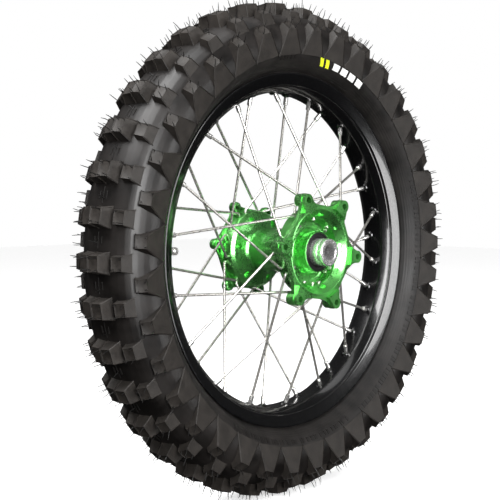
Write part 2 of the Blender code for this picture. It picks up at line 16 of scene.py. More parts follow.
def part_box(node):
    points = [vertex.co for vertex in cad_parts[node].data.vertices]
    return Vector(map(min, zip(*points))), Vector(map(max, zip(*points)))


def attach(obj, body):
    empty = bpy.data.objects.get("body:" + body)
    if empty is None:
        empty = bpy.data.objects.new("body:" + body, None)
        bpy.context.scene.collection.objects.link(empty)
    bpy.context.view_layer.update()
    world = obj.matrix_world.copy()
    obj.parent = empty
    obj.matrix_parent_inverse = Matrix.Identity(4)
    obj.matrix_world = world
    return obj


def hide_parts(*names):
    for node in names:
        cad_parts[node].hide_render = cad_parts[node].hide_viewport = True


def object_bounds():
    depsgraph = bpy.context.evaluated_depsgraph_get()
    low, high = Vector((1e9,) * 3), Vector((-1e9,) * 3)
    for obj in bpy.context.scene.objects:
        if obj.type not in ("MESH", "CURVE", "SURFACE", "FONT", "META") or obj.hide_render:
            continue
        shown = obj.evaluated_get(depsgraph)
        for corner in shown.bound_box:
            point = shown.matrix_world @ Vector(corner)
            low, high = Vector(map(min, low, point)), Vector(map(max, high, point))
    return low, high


bl_info = {
    "name": "Spoked Wheel",
    "version": (1, 0, 0),
    "blender": (4, 5, 0),
    "location": "View3D > Sidebar > Wheel",
    "description": "Builds a knobbly tyre, spoked rim and flanged hub over the packed frame",
    "category": "Object",
}

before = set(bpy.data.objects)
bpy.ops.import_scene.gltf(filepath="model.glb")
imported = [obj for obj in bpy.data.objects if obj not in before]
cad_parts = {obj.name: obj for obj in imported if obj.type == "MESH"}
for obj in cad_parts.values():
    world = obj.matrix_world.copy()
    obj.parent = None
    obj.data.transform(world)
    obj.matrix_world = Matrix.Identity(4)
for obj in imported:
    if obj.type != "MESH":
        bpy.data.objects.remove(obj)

CAD_LOW, CAD_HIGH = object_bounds()
RIM_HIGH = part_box("rim")[1]
SEAL_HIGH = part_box("oil_seal_sprocket_side")[1]

# Tyre: half outline of its casing as (y, radius), from the crown down to the bead, and then its
# inside from the bead up to the crown.
TREAD_PHASE = 127.03
CASING = (
    (0.0105, 0.3211), (0.0210, 0.3198), (0.0300, 0.3172), (0.0375, 0.3130), (0.0430, 0.3078),
    (0.0475, 0.3006), (0.0508, 0.2936), (0.0530, 0.2870), (0.0542, 0.2808), (0.0545, 0.2750),
    (0.0538, 0.2702), (0.0520, 0.2655), (0.0490, 0.2605), (0.0455, 0.2560), (0.0405, 0.2511),
    (0.0355, 0.2473), (0.0315, 0.2450), (0.0290, 0.2441), (0.0268, 0.2421), (0.0262, 0.2300),
    (0.0176, 0.2300),
)
CASING_INSIDE = (
    (0.0285, 0.2490), (0.0450, 0.2660), (0.0480, 0.2800), (0.0360, 0.3030), (0.0180, 0.3130),
)
CROWN_RADIUS = 0.3215
CROWN_INSIDE = 0.3150
KNOB_ROUNDING = 0.0009
MISSING_HAIRS = 0.12

# Sides of the hub: where its spokes leave it, where its bolt lugs stand, and the radius, the
# place along the axle and the lean in radians of the recesses over its spoke heads.
SIDES = {
    "sprocket_side": {
        "sign": -1.0, "flange": 0.0590, "bore": 0.0450, "exit_y": 0.0580, "pair": 23.26,
        "row_y": -0.0020, "lug_circle": 0.0757, "lug": 0.0092, "lug_angle": 112.9,
        "face": 0.0797, "boss_end": 0.0612, "inradius": 0.0630, "front": 0.0745,
        "back": 0.0690, "opening": 0.0565, "bolt": 0.0042, "recess": (0.0500, 0.0685, 0.73),
    },
    "brake_side": {
        "sign": 1.0, "flange": 0.0540, "bore": 0.0400, "exit_y": 0.0500, "pair": 13.26,
        "row_y": 0.0080, "lug_circle": 0.0634, "lug": 0.0078, "lug_angle": 112.3,
        "face": 0.0660, "boss_end": 0.0562, "inradius": 0.0560, "front": 0.0622,
        "back": 0.0588, "opening": 0.0529, "bolt": 0.0033, "recess": (0.0465, 0.0595, 0.53),
    },
}
LUGS = 6
PAIRS = 9
HUB_SPREAD = 16.0
RIM_SPREAD = 30.0
HUB_STAGGER = 0.0028
RIM_STAGGER = 0.0012
RIM_BED = 0.2165
RIM_WELL = 0.2195
VALVE_ANGLE = 178.26
NIPPLE_LENGTH = 0.0135
ELBOW = 0.0022

# Hub details: the recesses over its spoke heads, and the pockets behind the brake side's lugs.
RECESS_RADIUS = 0.0030
RECESS_DEPTH = 0.007
RECESS_STRETCH = 0.0042
POCKET_CIRCLE = 0.0435
POCKET_Y = 0.0360
POCKET_RADIUS = 0.0045
POCKET_DEPTH = 0.014
BOLT_TOOL_Y = 0.072
BOLT_TOOL_DEPTH = 0.06

# Collars: the small pits round the bore in their end faces.
PITS = 12
PIT_CIRCLE = 0.0158
PIT_RADIUS = 0.0006
PIT_DEPTH = 0.0016

# Camera: its direction from the wheel, its distance and how far it stands to the left.
CAMERA_AZIMUTH = -46.68
CAMERA_ELEVATION = 3.03
CAMERA_DISTANCE = 1.6236
CAMERA_LEFT = 0.0399
CAMERA_LENS = 84.3


def at(radius, degrees, y):
    """Return the point at a radius and an angle about the axle, at a place along it."""
    angle = math.radians(degrees)
    return Vector((radius * math.cos(angle), y, radius * math.sin(angle)))


# ---------------------------------------------------------------- finishes


class Shade:
    """A value in a finish. Arithmetic on it adds Math nodes."""

    def __init__(self, finish, socket):
        self.finish = finish
        self.socket = socket

    def math(self, operation, *values):
        return self.finish.node(
            "ShaderNodeMath", {"operation": operation}, dict(enumerate(values)))

    def __add__(self, other):
        return self.math("ADD", self, other)

    def __radd__(self, other):
        return self.math("ADD", other, self)

    def __sub__(self, other):
        return self.math("SUBTRACT", self, other)

    def __rsub__(self, other):
        return self.math("SUBTRACT", other, self)

    def __mul__(self, other):
        return self.math("MULTIPLY", self, other)

    def __rmul__(self, other):
        return self.math("MULTIPLY", other, self)

    def __truediv__(self, other):
        return self.math("DIVIDE", self, other)

    def __pow__(self, other):
        return self.math("POWER", self, other)


class Finish:
    """A material made from a Principled shader and the nodes that feed it."""

    def __init__(self, name, colour, roughness, metallic=0.0, **constants):
        self.material = bpy.data.materials.new(name)
        self.material.use_nodes = True
        self.tree = self.material.node_tree
        self.shader = self.tree.nodes["Principled BSDF"]
        self.shader.inputs["Base Color"].default_value = (*colour, 1.0)
        self.shader.inputs["Roughness"].default_value = roughness
        self.shader.inputs["Metallic"].default_value = metallic
        for socket, value in constants.items():
            self.shader.inputs[socket.replace("_", " ").title()].default_value = value
        self.material.diffuse_color = (*colour, 1.0)
        self.place = self.node("ShaderNodeTexCoord", output="Object")

    def node(self, kind, settings=None, inputs=None, output=0):
        """Add a node: its settings are set first, and then its sockets' values or links."""
        made = self.tree.nodes.new(kind)
        for name, value in (settings or {}).items():
            if name == "stops":
                ramp = made.color_ramp.elements
                for index, (position, colour) in enumerate(value):
                    stop = ramp[index] if index < 2 else ramp.new(position)
                    stop.position = position
                    stop.color = colour
            else:
                setattr(made, name, value)
        for name, value in (inputs or {}).items():
            if isinstance(value, Shade):
                self.tree.links.new(value.socket, made.inputs[name])
            else:
                made.inputs[name].default_value = value
        return Shade(self, made.outputs[output])

    def noise(self, scale, detail=3.0, stretch=None, rough=0.5):
        """Return a noise value; stretch scales its three directions."""
        place = self.place
        if stretch is not None:
            place = self.node("ShaderNodeMapping", None, {"Vector": place, "Scale": stretch})
        return self.node(
            "ShaderNodeTexNoise", None,
            {"Vector": place, "Scale": scale, "Detail": detail, "Roughness": rough})

    def fade(self, value, low, high, start=0.0, end=1.0):
        """Return value mapped from low..high to start..end, and held at both ends."""
        return self.node(
            "ShaderNodeMapRange", {"clamp": True},
            {"Value": value, "From Min": low, "From Max": high, "To Min": start, "To Max": end})

    def mix(self, factor, first, second):
        """Return a colour between two colours."""
        return self.node(
            "ShaderNodeMix", {"data_type": "RGBA"},
            {0: factor, 6: self.colour(first), 7: self.colour(second)}, 2)

    @staticmethod
    def colour(value):
        return value if isinstance(value, Shade) else (*value[:3], 1.0)

    def axes(self):
        """Return the three coordinates of a point as values."""
        made = self.tree.nodes.new("ShaderNodeSeparateXYZ")
        self.tree.links.new(self.place.socket, made.inputs[0])
        return [Shade(self, socket) for socket in made.outputs]

    def radius(self):
        """Return the distance from the axle as a value."""
        x, _y, z = self.axes()
        return (x * x + z * z) ** 0.5

    def feed(self, **values):
        """Link values that change over the surface to the shader's sockets."""
        for socket, value in values.items():
            self.tree.links.new(
                value.socket, self.shader.inputs[socket.replace("_", " ").title()])
        return self

    def bump(self, height, strength=0.3, distance=0.001):
        """Let a height value raise the surface."""
        normal = self.node(
            "ShaderNodeBump", None,
            {"Height": height, "Strength": strength, "Distance": distance})
        return self.feed(normal=normal)


def scaled(colour, factor):
    """Return a colour made lighter or darker."""
    return tuple(min(1.0, channel * factor) for channel in colour)


def casing_rubber(colour):
    """Smooth moulded rubber: streaked by the mould, glossy where it is stretched over the crown."""
    finish = Finish("casing_rubber", colour, 0.36)
    finish.shader.inputs["Specular IOR Level"].default_value = 0.35
    cloud = finish.noise(22.0, 5.0)
    streak = finish.noise(60.0, 4.0, (1.0, 0.25, 1.0))
    grain = finish.noise(900.0, 3.0)
    radius = finish.radius()
    shoulder = finish.fade(radius, 0.264, 0.288)
    mask = finish.fade(cloud * 0.6 + streak * 0.4, 0.40, 0.62)
    dusty = finish.mix(mask, colour, scaled(colour, 3.4))
    worn = finish.mix(shoulder * mask * 0.5, dusty, scaled(colour, 2.8))
    rough = finish.fade(cloud, 0.3, 0.7, 0.46, 0.60) - shoulder * 0.14
    near_rim = 1.0 - finish.fade(radius, 0.252, 0.258)
    rings = (radius * 2600.0).math("SINE", radius * 2600.0)
    height = grain * 0.12 + streak * 0.5 + cloud * 0.4 + rings * near_rim * 0.22
    return finish.feed(base_color=worn, roughness=rough).bump(height, 0.35, 0.0007)


def knob_rubber(colour):
    """Cut tread rubber: matt and a little dusty, with the mould's fine grain."""
    finish = Finish("knob_rubber", colour, 0.62)
    finish.shader.inputs["Specular IOR Level"].default_value = 0.3
    cloud = finish.noise(70.0, 4.0)
    fine = finish.noise(420.0, 4.0, rough=0.65)
    radius = finish.radius()
    top = finish.fade(radius, 0.318, 0.336)
    dust = finish.fade(cloud * 0.55 + fine * 0.45, 0.38, 0.64)
    shade = finish.mix(dust, colour, scaled(colour, 2.0))
    tint = finish.mix(top * dust * 0.6, shade, scaled(colour, 2.8))
    rough = finish.fade(fine, 0.3, 0.7, 0.42, 0.62)
    return finish.feed(base_color=tint, roughness=rough).bump(fine * 0.8 + cloud * 0.6, 0.4, 0.0007)


def gloss_black(colour):
    """Black rim finish under a clear coat, with a slight ripple and dull spots, and a painted
    highlight in patches along the flange lip.
    """
    finish = Finish("gloss_black", colour, 0.22, 0.3, coat_weight=0.5, coat_roughness=0.05)
    ripple = finish.noise(45.0, 3.0)
    spots = finish.noise(320.0, 4.0)
    edge = finish.fade(finish.radius(), 0.2405, 0.2425)
    shade = finish.mix(finish.fade(spots, 0.5, 0.75) * 0.3, colour, scaled(colour, 2.0))
    # The flange lip is painted four times lighter in patches: a painted highlight along its edge.
    lip_highlight = finish.mix(edge * finish.fade(ripple, 0.45, 0.6), shade, scaled(colour, 4.0))
    rough = finish.fade(spots, 0.35, 0.7, 0.18, 0.26)
    return finish.feed(base_color=lip_highlight, roughness=rough).bump(ripple, 0.06, 0.0005)


def green_anodised(colour):
    """Green anodised aluminium with the fine rings left by the lathe."""
    finish = Finish("green_anodised", colour, 0.2, 0.92, coat_weight=0.9, coat_roughness=0.16)
    cloud = finish.noise(30.0, 3.0)
    fine = finish.noise(500.0, 3.0)
    x, y, z = finish.axes()
    radius = (x * x + z * z) ** 0.5
    turning = ((radius + y * 0.6) * 9000.0).math("SINE", (radius + y * 0.6) * 9000.0)
    shade = finish.mix(finish.fade(cloud, 0.35, 0.65), scaled(colour, 0.78), scaled(colour, 1.2))
    rough = finish.fade(fine * 0.5 + cloud * 0.5, 0.35, 0.65, 0.22, 0.36)
    return finish.feed(base_color=shade, roughness=rough).bump(turning * 0.3 + fine, 0.05, 0.0003)


def plain_metal(name, colour, roughness, grain=400.0, strength=0.08):
    """Bright metal with a fine grain, small colour changes and dull patches."""
    finish = Finish(name, colour, roughness, 0.85)
    cloud = finish.noise(60.0, 3.0)
    fine = finish.noise(grain, 4.0)
    shade = finish.mix(finish.fade(cloud, 0.35, 0.65), scaled(colour, 0.80), colour)
    rough = finish.fade(fine, 0.3, 0.7, roughness * 0.75, min(1.0, roughness * 1.35))
    return finish.feed(base_color=shade, roughness=rough).bump(fine, strength, 0.0003)


def plain_rubber(name, colour, roughness):
    """Plain rubber or paint with a fine grain and faint clouds."""
    finish = Finish(name, colour, roughness)
    cloud = finish.noise(50.0, 4.0)
    fine = finish.noise(650.0, 3.0)
    shade = finish.mix(finish.fade(cloud, 0.4, 0.65), colour, scaled(colour, 1.5))
    rough = finish.fade(fine, 0.3, 0.7, roughness * 0.85, min(1.0, roughness * 1.15))
    return finish.feed(base_color=shade, roughness=rough).bump(fine + cloud * 0.5, 0.2, 0.0004)


# ---------------------------------------------------------------- mesh helpers


def turned(outline, steps, rounding=0.0, segments=2):
    """Turn a closed outline of (y, radius) points about the axle, with its corners rounded."""
    mesh = bmesh.new()
    corners = [mesh.verts.new((radius, y, 0.0)) for y, radius in outline]
    for near, far in zip(corners, corners[1:] + corners[:1]):
        mesh.edges.new((near, far))
    if rounding:
        bmesh.ops.bevel(
            mesh, geom=mesh.verts[:], offset=rounding, offset_type="OFFSET", segments=segments,
            profile=0.5, affect="VERTICES", material=-1, clamp_overlap=True)
    bmesh.ops.spin(
        mesh, geom=mesh.verts[:] + mesh.edges[:], cent=(0, 0, 0), axis=(0, 1, 0), dvec=(0, 0, 0),
        angle=2.0 * math.pi, steps=steps, use_merge=True)
    bmesh.ops.recalc_face_normals(mesh, faces=mesh.faces[:])
    return mesh


def mirrored(half):
    """Return a closed outline from its +Y half."""
    return list(half) + [(-y, radius) for y, radius in reversed(half)]


def station(centre, axis, radius):
    """Return the placing of a unit circle: its centre, the way it faces and its radius."""
    turn = Vector(axis).to_track_quat("Z", "Y").to_matrix().to_4x4()
    return Matrix.Translation(centre) @ turn @ Matrix.Diagonal((radius, radius, radius, 1.0))


def add_drawn(mesh, stations, sides):
    """Add a round rod drawn through stations of (centre, axis, radius)."""
    places = [station(*values) for values in stations]
    made = bmesh.ops.create_circle(
        mesh, cap_ends=False, segments=sides, radius=1.0, matrix=places[0])
    ring = made["verts"]
    edges = list({edge for vert in ring for edge in vert.link_edges})
    bmesh.ops.contextual_create(mesh, geom=edges)
    for here, there in zip(places, places[1:]):
        grown = bmesh.ops.extrude_edge_only(mesh, edges=edges)["geom"]
        ring = [item for item in grown if isinstance(item, bmesh.types.BMVert)]
        edges = [item for item in grown if isinstance(item, bmesh.types.BMEdge)
                 and all(vert in ring for vert in item.verts)]
        bmesh.ops.transform(mesh, matrix=there @ here.inverted(), verts=ring)
    bmesh.ops.contextual_create(mesh, geom=edges)


def add_block(mesh, corner, rounding, segments=2):
    """Add a rounded block; corner gives each corner's place from its (-1 or 1) directions."""
    made = bmesh.ops.create_cube(mesh, size=2.0)["verts"]
    for vert in made:
        vert.co = corner(*[1 if value > 0 else -1 for value in vert.co])
    edges = list({edge for vert in made for edge in vert.link_edges})
    bmesh.ops.bevel(
        mesh, geom=edges, offset=rounding, offset_type="OFFSET", segments=segments, profile=0.5,
        affect="EDGES", material=-1, clamp_overlap=True)


def add_repeats(mesh, count):
    """Repeat all of a mesh evenly around the axle."""
    bmesh.ops.spin(
        mesh, geom=mesh.verts[:] + mesh.edges[:] + mesh.faces[:], cent=(0, 0, 0), axis=(0, 1, 0),
        dvec=(0, 0, 0), angle=2.0 * math.pi * (count - 1) / count, steps=count - 1,
        use_duplicate=True)


def add_pin(mesh, place, radius, depth, axis, sides, rounding=0.0):
    """Add a short round pin centred on a place, with its ends rounded."""
    turn = Vector(axis).to_track_quat("Z", "Y").to_matrix().to_4x4()
    made = bmesh.ops.create_cone(
        mesh, cap_ends=True, segments=sides, radius1=radius, radius2=radius, depth=depth,
        matrix=Matrix.Translation(place) @ turn)["verts"]
    if rounding:
        rims = [edge for edge in {e for vert in made for e in vert.link_edges}
                if any(len(face.verts) > 4 for face in edge.link_faces)]
        bmesh.ops.bevel(
            mesh, geom=rims, offset=rounding, offset_type="OFFSET", segments=2, profile=0.5,
            affect="EDGES", material=-1, clamp_overlap=True)
    return made


def finish_piece(name, mesh, finishes, body, replaced=(), sharp=32.0):
    """Turn a mesh into a piece that rides on a body and takes its finish from a slot."""
    bmesh.ops.recalc_face_normals(mesh, faces=mesh.faces[:])
    data = bpy.data.meshes.new(name)
    mesh.to_mesh(data)
    mesh.free()
    for finish in finishes:
        data.materials.append(finish.material)
    data.shade_smooth()
    data.set_sharp_from_angle(angle=math.radians(sharp))
    piece = bpy.data.objects.new(name, data)
    bpy.context.scene.collection.objects.link(piece)
    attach(piece, body)
    if replaced:
        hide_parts(*replaced)
    return piece


def cut(mesh, tool, operation="DIFFERENCE"):
    """Return a mesh with a tool mesh cut from it."""
    things = []
    for part in (mesh, tool):
        bmesh.ops.recalc_face_normals(part, faces=part.faces[:])
        data = bpy.data.meshes.new("cutting")
        part.to_mesh(data)
        part.free()
        thing = bpy.data.objects.new("cutting", data)
        bpy.context.scene.collection.objects.link(thing)
        things.append(thing)
    target, cutter = things
    modifier = target.modifiers.new("cut", "BOOLEAN")
    modifier.solver = "EXACT"
    modifier.operation = operation
    modifier.object = cutter
    graph = bpy.context.evaluated_depsgraph_get()
    result = bmesh.new()
    result.from_object(target, graph)
    for thing in things:
        bpy.data.objects.remove(thing, do_unlink=True)
    return result


# ---------------------------------------------------------------- tyre


def casing_y(radius):
    """Return how far the sidewall stands from the wheel's middle at a radius."""
    for (y_high, high), (y_low, low) in zip(CASING, CASING[1:]):
        if low <= radius <= high:
            return y_low + (y_high - y_low) * (radius - low) / (high - low)
    return CASING[0][0]


def build_casing(settings):
    half = CASING + CASING_INSIDE
    outline = [(0.0, CROWN_RADIUS)] + list(half) + [(0.0, CROWN_INSIDE)]
    outline += [(-y, radius) for y, radius in reversed(half)]
    mesh = turned(outline, 5 * settings.repeats, 0.0011)
    rubber = casing_rubber(settings.colour)
    finish_piece("tyre_casing", mesh, [rubber], "wheel", ["tyre"], 50.0)


def knob_corner(inner, outer, inner_foot, outer_foot, half_top, half_foot, half_toe, angle, side):
    """Return a function that gives the corners of one knob for add_block."""
    def corner(along, across, up):
        y, radius = ((inner_foot, inner), (outer_foot, outer))[across > 0][up > 0]
        half = half_top if up > 0 else (half_toe if across > 0 else half_foot)
        turn = math.degrees(half / radius) * along
        return at(radius, angle + turn, y * side)
    return corner


def build_knobs(settings):
    step = 360.0 / settings.repeats
    rubber = knob_rubber(settings.knob_colour)
    centre = bmesh.new()
    middle = bmesh.new()
    shoulder = bmesh.new()
    between = TREAD_PHASE + 0.5 * step
    for side in (-1.0, 1.0):
        add_block(centre, knob_corner(
            (0.0009, 0.3368), (0.0166, 0.3350), (0.0004, 0.3185), (0.0208, 0.3170),
            0.0096, 0.0135, 0.0140, between, side), KNOB_ROUNDING)
        add_block(middle, knob_corner(
            (0.0298, 0.3262), (0.0418, 0.3202), (0.0270, 0.3130), (0.0445, 0.3040),
            0.0085, 0.0108, 0.0115, between, side), KNOB_ROUNDING)
        add_block(shoulder, knob_corner(
            (0.0497, 0.3076), (0.0603, 0.2972), (0.0430, 0.2990), (0.0528, 0.2660),
            0.0080, 0.0105, 0.0215, TREAD_PHASE, side), KNOB_ROUNDING)
    for name, mesh in (("centre", centre), ("middle", middle), ("shoulder", shoulder)):
        add_repeats(mesh, settings.repeats)
        finish_piece(f"tread_{name}_knobs", mesh, [rubber], "wheel", ["tyre"])


def build_tread_details(settings):
    """Build the vent hairs, the ribs between the centre knobs and the long flash pips."""
    chance = random.Random(7)
    step = 360.0 / settings.repeats
    hairs = bmesh.new()
    ribs = bmesh.new()
    spots = []
    for repeat in range(settings.repeats):
        between = TREAD_PHASE + (repeat + 0.5) * step
        on_line = TREAD_PHASE + repeat * step
        for side in (-1.0, 1.0):
            for along in (-1.0, 1.0):
                spots.append((between, 0.0035, 0.3366, side, along * 0.0075, 0.05))
                spots.append((between, 0.0140, 0.3352, side, along * 0.0075, 0.25))
                for y, radius in ((0.0318, 0.3250), (0.0400, 0.3208)):
                    spots.append((between, y, radius, side, along * 0.0065, 0.40))
                for y, radius in ((0.0513, 0.3060), (0.0588, 0.2987)):
                    spots.append((on_line, y, radius, side, along * 0.0058, 0.70))
    for angle, y, radius, side, along, lean in spots:
        if chance.random() < MISSING_HAIRS:
            continue
        turn = math.degrees((along + chance.uniform(-0.0008, 0.0008)) / radius)
        foot = at(radius - 0.0012, angle + turn, y * side)
        out = at(1.0, angle + turn, 0.0) * math.cos(lean) + Vector((0, math.sin(lean) * side, 0))
        out += Vector([chance.uniform(-0.16, 0.16) for _axis in range(3)])
        bend = Vector([chance.uniform(-0.25, 0.25) for _axis in range(3)])
        length = settings.hair_length * chance.uniform(0.55, 1.15)
        middle = foot + out.normalized() * length * 0.55
        tip = middle + (out + bend).normalized() * length * 0.45
        add_drawn(
            hairs,
            [(foot, out, 0.00060), (middle, out, 0.00050), (tip, out + bend, 0.00030)], 4)
    for repeat in range(settings.repeats):
        on_line = TREAD_PHASE + repeat * step
        foot = at(
            CROWN_RADIUS - 0.001, on_line + chance.uniform(-1.0, 1.0),
            chance.uniform(-0.001, 0.001))
        out = foot.normalized() + Vector([chance.uniform(-0.2, 0.2) for _axis in range(3)])
        tip = foot + out * chance.uniform(0.008, 0.014)
        add_drawn(
            hairs,
            [(foot, foot, 0.0009), ((foot + tip) / 2, out, 0.0007), (tip, out, 0.0003)], 5)
    for offset, half_y, half_length in (
            (0.0, 0.0005, 0.0100), (0.0062, 0.0006, 0.0045), (-0.0062, 0.0006, 0.0045)):
        def corner(along, across, up):
            radius = 0.3222 if up > 0 else 0.3195
            turn = math.degrees(half_length / radius) * along
            return at(radius, TREAD_PHASE + turn, offset + half_y * across)
        add_block(ribs, corner, 0.0002)
    add_repeats(ribs, settings.repeats)
    rubber = plain_rubber("hair_rubber", scaled(settings.colour, 0.5), 0.5)
    finish_piece("tread_vent_hairs", hairs, [rubber], "wheel", ["tyre"])
    finish_piece("tread_crown_ribs", ribs, [knob_rubber(settings.colour)],
                 "wheel", ["tyre"])


def add_sidewall_bar(mesh, angle, half_angle, low, high, rise, slant=0.0, side=-1.0):
    """Add a thin raised bar that follows the sidewall between two radii."""
    made = bmesh.ops.create_grid(mesh, x_segments=3, y_segments=3, size=1.0)["verts"]
    faces = list({face for vert in made for face in vert.link_faces})
    placed = {}
    for vert in made:
        share = (vert.co.y + 1.0) / 2.0
        radius = low + (high - low) * share
        placed[vert] = (radius, angle + vert.co.x * half_angle + slant * (share - 0.5))
    for vert, (radius, degrees) in placed.items():
        vert.co = at(radius, degrees, side * (casing_y(radius) - 0.0006))
    grown = bmesh.ops.extrude_face_region(mesh, geom=faces)["geom"]
    for vert in [item for item in grown if isinstance(item, bmesh.types.BMVert)]:
        vert.co.y += side * (0.0006 + rise)


def build_sidewall_marks(settings):
    """Build the plain raised bars and the painted bars of the sidewall."""
    chance = random.Random(19)
    raised = bmesh.new()
    for start, end, low, high in ((-62.0, 22.0, 0.2585, 0.2665), (238.0, 292.0, 0.2560, 0.2620)):
        angle = start
        while angle < end:
            half = chance.choice((0.28, 0.42, 0.60))
            add_sidewall_bar(raised, angle, half, low, high, 0.0008)
            angle += 2.0 * half + chance.choice((0.5, 0.7, 1.4))
    for side in (-1.0, 1.0):
        for angle in (95.0, 140.0, 200.0):
            for bar in range(5):
                add_sidewall_bar(raised, angle + 1.5 * bar, 0.45, 0.2590, 0.2640, 0.0005, 0.0, side)
    finish_piece("sidewall_raised_bars", raised, [knob_rubber(scaled(settings.colour, 1.2))],
                 "wheel", ["tyre"])
    yellow = bmesh.new()
    white = bmesh.new()
    for bar in range(2):
        add_sidewall_bar(yellow, 82.5 - 2.6 * bar, 0.75, 0.2550, 0.2650, 0.0003, 1.6)
    for bar in range(4):
        add_sidewall_bar(white, 75.6 - 3.9 * bar, 1.45, 0.2562, 0.2640, 0.0003, 0.6)
    yellow_paint = plain_rubber("yellow_paint", settings.mark_colour, 0.5)
    white_paint = plain_rubber("white_paint", (0.85, 0.85, 0.83), 0.5)
    finish_piece("sidewall_yellow_bars", yellow, [yellow_paint], "wheel", ["tyre"])
    finish_piece("sidewall_white_bars", white, [white_paint], "wheel", ["tyre"])


# ---------------------------------------------------------------- rim, spokes and valve


def spoke_lines():
    """Yield each spoke's side, number, direction out of the hub, exit point, bend and seat."""
    for name, side in SIDES.items():
        number = 0
        for pair in range(PAIRS):
            middle = side["pair"] + 360.0 * pair / PAIRS
            for lean in (1.0, -1.0):
                number += 1
                hub_angle = middle - lean * HUB_SPREAD
                exit_y = side["sign"] * (side["exit_y"] + lean * HUB_STAGGER)
                seat_y = side["row_y"] + side["sign"] * lean * RIM_STAGGER
                bend = at(side["flange"] + 0.0025, hub_angle, exit_y)
                seat = at(RIM_BED, middle + lean * RIM_SPREAD, seat_y)
                yield name, number, hub_angle, exit_y, bend, seat


def build_rim_pieces(settings):
    half = (
        (0.0130, RIM_WELL), (0.0172, 0.2284), (0.0268, 0.2290), (0.0278, 0.2400),
        (0.0286, 0.2419), (0.0298, RIM_HIGH.x - 0.0002), (0.0309, 0.2418), (0.0311, 0.2400),
        (0.0272, 0.2300), (0.0262, 0.2272), (0.0252, 0.2256), (0.0236, 0.2252), (0.0232, 0.2236),
        (0.0145, 0.2176), (0.0125, RIM_BED),
    )
    mesh = turned(mirrored(half), 192, 0.0004)
    black = gloss_black(settings.colour)
    finish_piece("rim_hoop", mesh, [black], "wheel", ["rim"])
    seats = bmesh.new()
    for _name, _number, _hub_angle, _exit_y, bend, seat in spoke_lines():
        along = (seat - bend).normalized()
        add_drawn(seats, [
            (seat + along * 0.0020, along, 0.0078), (seat - along * 0.0002, along, 0.0070),
            (seat - along * 0.0014, along, 0.0056), (seat - along * 0.0018, along, 0.0044),
            (seat - along * 0.0012, along, 0.0036), (seat + along * 0.0020, along, 0.0034),
        ], 16)
    finish_piece("rim_nipple_seats", seats, [black], "wheel", ["rim"], 50.0)


def build_spoke_pieces(settings):
    wire = plain_metal("drawn_wire", settings.wire_colour, 0.28)
    plated = plain_metal("plated_nipple", settings.nipple_colour, 0.2)
    radius = settings.wire_diameter / 2.0
    for name, number, hub_angle, exit_y, bend, seat in spoke_lines():
        outward = at(1.0, hub_angle, 0.0)
        along = (seat - bend).normalized()
        inside = SIDES[name]["bore"] - 0.0010
        nipple = seat - along * NIPPLE_LENGTH
        elbow = [(bend - outward * ELBOW, outward, radius)]
        for share in (0.25, 0.5, 0.75):
            arc = bend - outward * ELBOW * (1 - share) ** 2 + along * ELBOW * share ** 2
            elbow.append((arc, outward.lerp(along, share), radius))
        elbow.append((bend + along * ELBOW, along, radius))
        mesh = bmesh.new()
        add_drawn(mesh, [
            (at(inside - 0.0018, hub_angle, exit_y), outward, 0.0022),
            (at(inside - 0.0012, hub_angle, exit_y), outward, 0.0030),
            (at(inside, hub_angle, exit_y), outward, 0.0031),
            (at(inside + 0.0002, hub_angle, exit_y), outward, radius),
        ] + elbow + [(nipple, along, radius), (nipple + along * 0.004, along, radius)], 12)
        wire_faces = len(mesh.faces)
        add_drawn(mesh, [
            (nipple - along * 0.0002, along, 0.0022), (nipple + along * 0.0006, along, 0.0032),
            (nipple + along * 0.0105, along, 0.0032), (nipple + along * 0.0112, along, 0.0027),
            (nipple + along * 0.0156, along, 0.0027), (nipple + along * 0.0178, along, 0.0043),
            (nipple + along * 0.0190, along, 0.0043),
        ], 12)
        mesh.faces.ensure_lookup_table()
        for face in mesh.faces[wire_faces:]:
            face.material_index = 1
        finish_piece(f"wire_{name}_{number:02d}", mesh, [wire, plated], "wheel",
                     [f"spoke_{name}_{number:02d}"])


def build_valve_pieces(settings):
    steel = plain_metal("plated_brass", settings.nipple_colour, 0.22)
    out = at(1.0, VALVE_ANGLE, 0.0)
    pieces = {
        "stem": ([(0.1960, 0.0036), (0.1966, 0.0040), (0.2320, 0.0040)], 20, "valve_stem"),
        "nut": ([(0.2113, 0.0062), (0.2119, 0.0070), (0.2147, 0.0070), (0.2153, 0.0064)], 6,
                "valve_nut"),
        "cap": ([(0.1940, 0.0030), (0.1944, 0.0043), (0.1952, 0.0051), (0.2012, 0.0052),
                 (0.2020, 0.0047)], 20, "valve_cap"),
    }
    for name, (profile, sides, node) in pieces.items():
        mesh = bmesh.new()
        add_drawn(mesh, [(out * far, out, radius) for far, radius in profile], sides)
        finish_piece(f"valve_{name}_turned", mesh, [steel], "wheel", [node])


# ---------------------------------------------------------------- hub


def star_plate(side):
    """Return the six-cornered bolting plate of one hub side, with its lug pads."""
    sign = side["sign"]
    edge = side["inradius"] / math.cos(math.radians(180.0 / LUGS - 17.0))
    mesh = bmesh.new()
    corners = []
    for lug in range(LUGS):
        angle = side["lug_angle"] + 360.0 * lug / LUGS
        centre = at(side["lug_circle"], angle, sign * side["back"])
        corners.append(mesh.verts.new(at(edge, angle - 17.0, sign * side["back"])))
        for arc in range(-5, 6):
            corners.append(mesh.verts.new(centre + at(side["lug"], angle + 20.0 * arc, 0.0)))
        corners.append(mesh.verts.new(at(edge, angle + 17.0, sign * side["back"])))
    plate = mesh.faces.new(corners)
    grown = bmesh.ops.extrude_face_region(mesh, geom=[plate])["geom"]
    moved = [item for item in grown if isinstance(item, bmesh.types.BMVert)]
    bmesh.ops.translate(mesh, verts=moved, vec=(0, sign * (side["front"] - side["back"]), 0))
    opening = bmesh.new()
    add_pin(opening, (0, sign * side["front"], 0), side["opening"], 0.03, (0, 1, 0), 96)
    return cut(mesh, opening)


